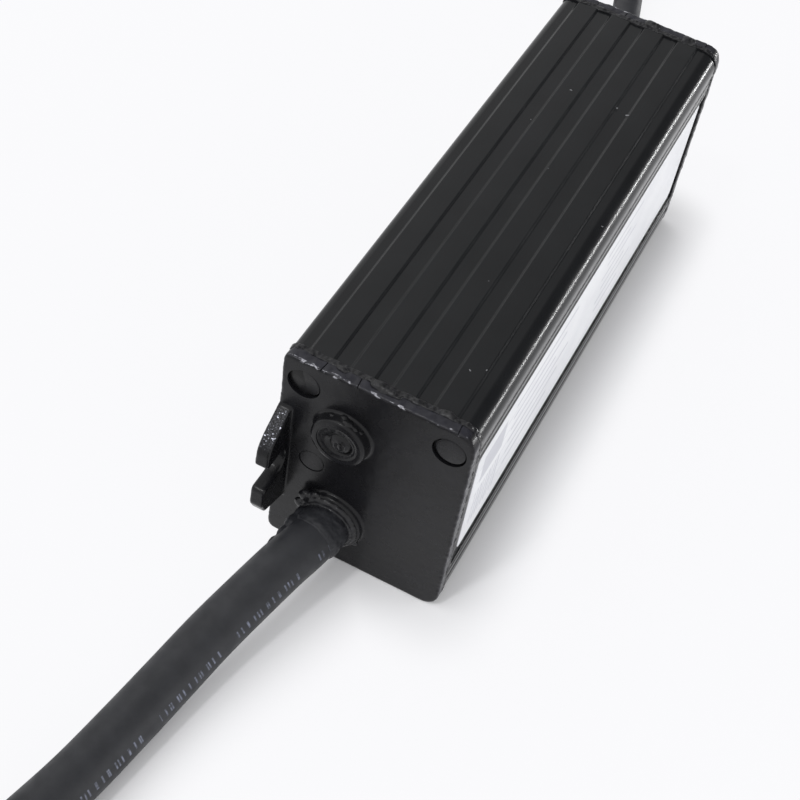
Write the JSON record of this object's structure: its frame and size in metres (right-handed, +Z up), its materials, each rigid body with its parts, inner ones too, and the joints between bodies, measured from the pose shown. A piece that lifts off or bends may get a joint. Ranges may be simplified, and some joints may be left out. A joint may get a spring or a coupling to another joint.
{
  "type": "led driver",
  "caption": "Sealed aluminium driver for LED lamps, with an extruded case, end plates that carry slotted mounting ears, a potted circuit board and two flexible leads.",
  "frame": {"origin": "middle of the case's bottom face, halfway along its length", "axes": "+X across the case from the mounting side to the label side, +Y along the case from the input lead to the output lead, +Z up from the face that the cables leave near"},
  "size_m": [0.0575, 0.3609, 0.0372],
  "materials": {
    "case_finish": "satin, powder coated aluminium",
    "plate_paint": "satin, with a fine sparkle",
    "label_film": "smooth film",
    "seam_sealant": "glossy, uneven",
    "zinc_steel": "zinc plated",
    "screw_filler": "satin",
    "port_compound": "glossy",
    "grommet_rubber": "matte",
    "cable_rubber": "matte",
    "brown_insulation": "satin",
    "blue_insulation": "satin",
    "green_yellow_insulation": "satin, two colours",
    "red_insulation": "satin",
    "black_insulation": "satin",
    "tinned_copper": "tinned strands",
    "tie_nylon": "satin",
    "board_laminate": "satin",
    "fuse_body": "smooth",
    "blue_coating": "smooth",
    "yellow_box": "smooth",
    "ferrite": "matte, sintered",
    "enamelled_copper": "enamelled",
    "winding_tape": "polyester tape over copper",
    "bobbin_plastic": "satin",
    "black_epoxy": "satin",
    "can_sleeve": "shrunk sleeve on an aluminium can",
    "chip_body": "satin",
    "thermal_pad": "matte",
    "solder": "bright",
    "insulating_film": "matte",
    "potting": "matte, filled compound"
  },
  "bodies": {
    "root": {"case": "case_finish", "side_label": "label_film", "input_end_plate": "plate_paint", "output_end_plate": "plate_paint", "input_seal": "seam_sealant", "output_seal": "seam_sealant", "input_plate_screws": "zinc_steel", "output_plate_screws": "zinc_steel", "input_screw_fillers": "screw_filler", "output_screw_fillers": "screw_filler", "input_port_plug": "port_compound", "output_port_plug": "port_compound", "input_grommet": "grommet_rubber", "output_grommet": "grommet_rubber", "input_collar_sealant": "seam_sealant", "output_collar_sealant": "seam_sealant", "input_cable": "cable_rubber", "output_cable": "cable_rubber", "live_core": "brown_insulation", "neutral_core": "blue_insulation", "earth_core": "green_yellow_insulation", "input_conductors": "tinned_copper", "positive_core": "red_insulation", "negative_core": "black_insulation", "output_conductors": "tinned_copper", "input_cable_tie": "tie_nylon", "output_cable_tie": "tie_nylon", "circuit_board": "board_laminate", "input_board_wires": "brown_insulation", "output_board_wires": "red_insulation", "fuse": "fuse_body", "varistor": "blue_coating", "safety_capacitor": "yellow_box", "choke_core": "ferrite", "choke_winding": "enamelled_copper", "bridge_rectifier": "black_epoxy", "input_capacitor": "can_sleeve", "switching_transistor": "black_epoxy", "optocoupler": "black_epoxy", "controller_chip": "black_epoxy", "chip_resistors": "chip_body", "transformer_core": "ferrite", "transformer_bobbin": "bobbin_plastic", "transformer_winding": "winding_tape", "output_diode": "black_epoxy", "output_capacitor": "can_sleeve", "suppression_capacitor": "blue_coating", "thermal_pads": "thermal_pad", "solder_joints": "solder", "insulating_sheet": "insulating_film", "potting_compound": "potting"}
  },
  "joints": []
}
